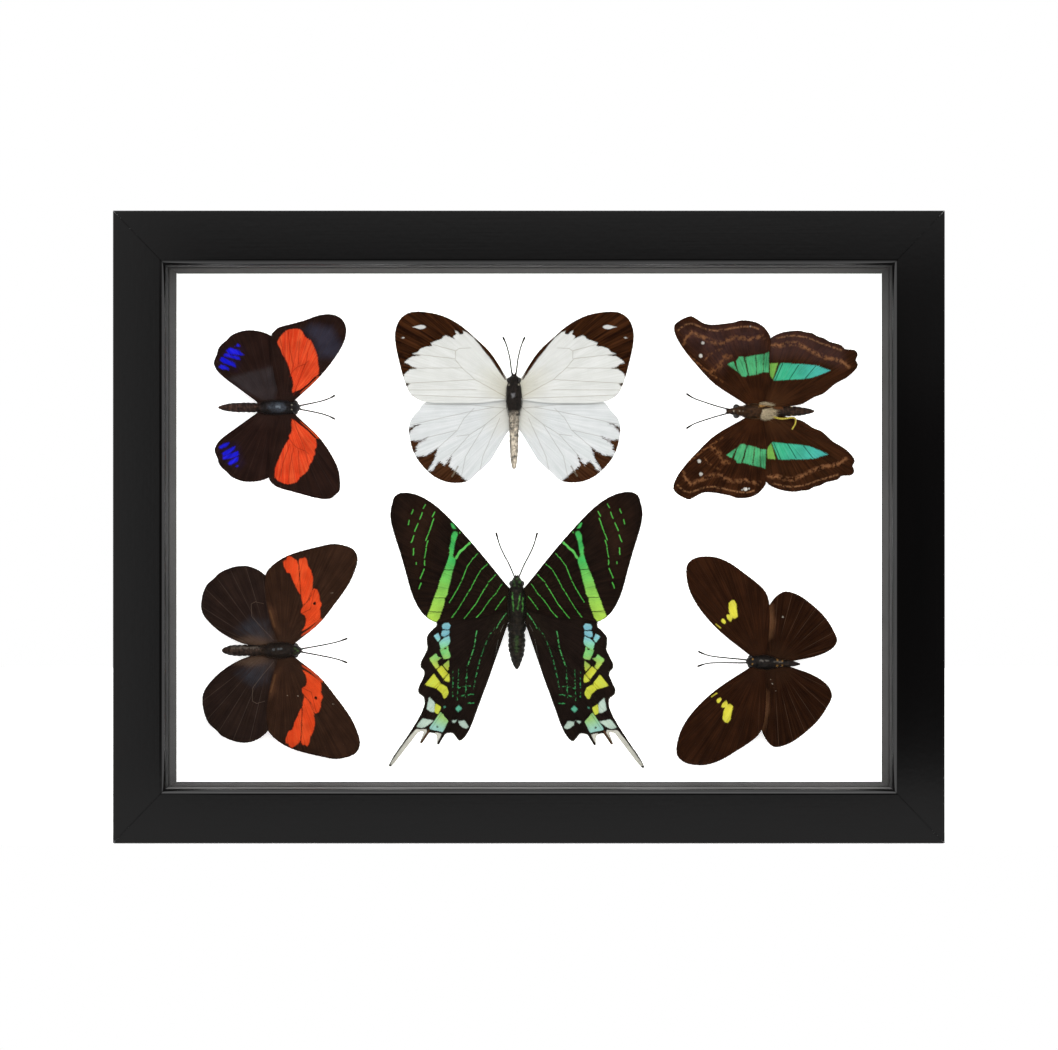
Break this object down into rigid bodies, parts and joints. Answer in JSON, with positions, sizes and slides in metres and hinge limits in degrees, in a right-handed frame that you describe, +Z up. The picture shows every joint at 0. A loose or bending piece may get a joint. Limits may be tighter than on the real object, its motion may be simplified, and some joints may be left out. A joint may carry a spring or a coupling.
{
  "type": "framed butterfly display",
  "caption": "Glazed shadow box frame in black lacquered wood, with set butterflies on a white mount board, to stand or hang on a wall.",
  "frame": {"origin": "middle of the underside of the bottom rail", "axes": "+X to the viewer's right along the rails, +Y from the glass to the back panel, +Z up"},
  "size_m": [0.28, 0.034, 0.213],
  "materials": {
    "lacquered_wood": "black gloss lacquer",
    "glass": "clear, polished",
    "grey_strip": "matte grey paper",
    "white_card": "matte white",
    "hardboard": "bare brown hardboard",
    "zinc": "zinc plated",
    "foam": "matte white foam",
    "scarlet_body": "dry, hairy insect body",
    "scarlet_forewing": "scaled forewing with its markings",
    "scarlet_hindwing": "scaled hindwing with its markings",
    "white_body": "dry, hairy insect body",
    "white_forewing": "scaled forewing with its markings",
    "white_hindwing": "scaled hindwing with its markings",
    "emperor_body": "dry, hairy insect body",
    "emperor_forewing": "scaled forewing with its markings",
    "emperor_hindwing": "scaled hindwing with its markings",
    "postman_body": "dry, hairy insect body",
    "postman_forewing": "scaled forewing with its markings",
    "postman_hindwing": "scaled hindwing with its markings",
    "urania_body": "dry, hairy insect body",
    "urania_forewing": "scaled forewing with its markings",
    "urania_hindwing": "scaled hindwing with its markings",
    "longwing_body": "dry, hairy insect body",
    "longwing_forewing": "scaled forewing with its markings",
    "longwing_hindwing": "scaled hindwing with its markings"
  },
  "bodies": {
    "root": {"frame_rail_top": "lacquered_wood", "frame_rail_bottom": "lacquered_wood", "frame_stile_left": "lacquered_wood", "frame_stile_right": "lacquered_wood", "glass": "glass", "spacer_top": "grey_strip", "spacer_bottom": "grey_strip", "spacer_left": "grey_strip", "spacer_right": "grey_strip", "mount_board": "white_card", "back_panel": "hardboard", "hanger": "zinc", "scarlet_body": "scarlet_body", "scarlet_pad": "foam", "scarlet_forewing_left": "scarlet_forewing", "scarlet_forewing_right": "scarlet_forewing", "scarlet_hindwing_left": "scarlet_hindwing", "scarlet_hindwing_right": "scarlet_hindwing", "white_body": "white_body", "white_pad": "foam", "white_forewing_left": "white_forewing", "white_forewing_right": "white_forewing", "white_hindwing_left": "white_hindwing", "white_hindwing_right": "white_hindwing", "emperor_body": "emperor_body", "emperor_pad": "foam", "emperor_forewing_left": "emperor_forewing", "emperor_forewing_right": "emperor_forewing", "emperor_hindwing_left": "emperor_hindwing", "emperor_hindwing_right": "emperor_hindwing", "postman_body": "postman_body", "postman_pad": "foam", "postman_forewing_left": "postman_forewing", "postman_forewing_right": "postman_forewing", "postman_hindwing_left": "postman_hindwing", "postman_hindwing_right": "postman_hindwing", "urania_body": "urania_body", "urania_pad": "foam", "urania_forewing_left": "urania_forewing", "urania_forewing_right": "urania_forewing", "urania_hindwing_left": "urania_hindwing", "urania_hindwing_right": "urania_hindwing", "longwing_body": "longwing_body", "longwing_pad": "foam", "longwing_forewing_left": "longwing_forewing", "longwing_forewing_right": "longwing_forewing", "longwing_hindwing_left": "longwing_hindwing", "longwing_hindwing_right": "longwing_hindwing"}
  },
  "joints": []
}
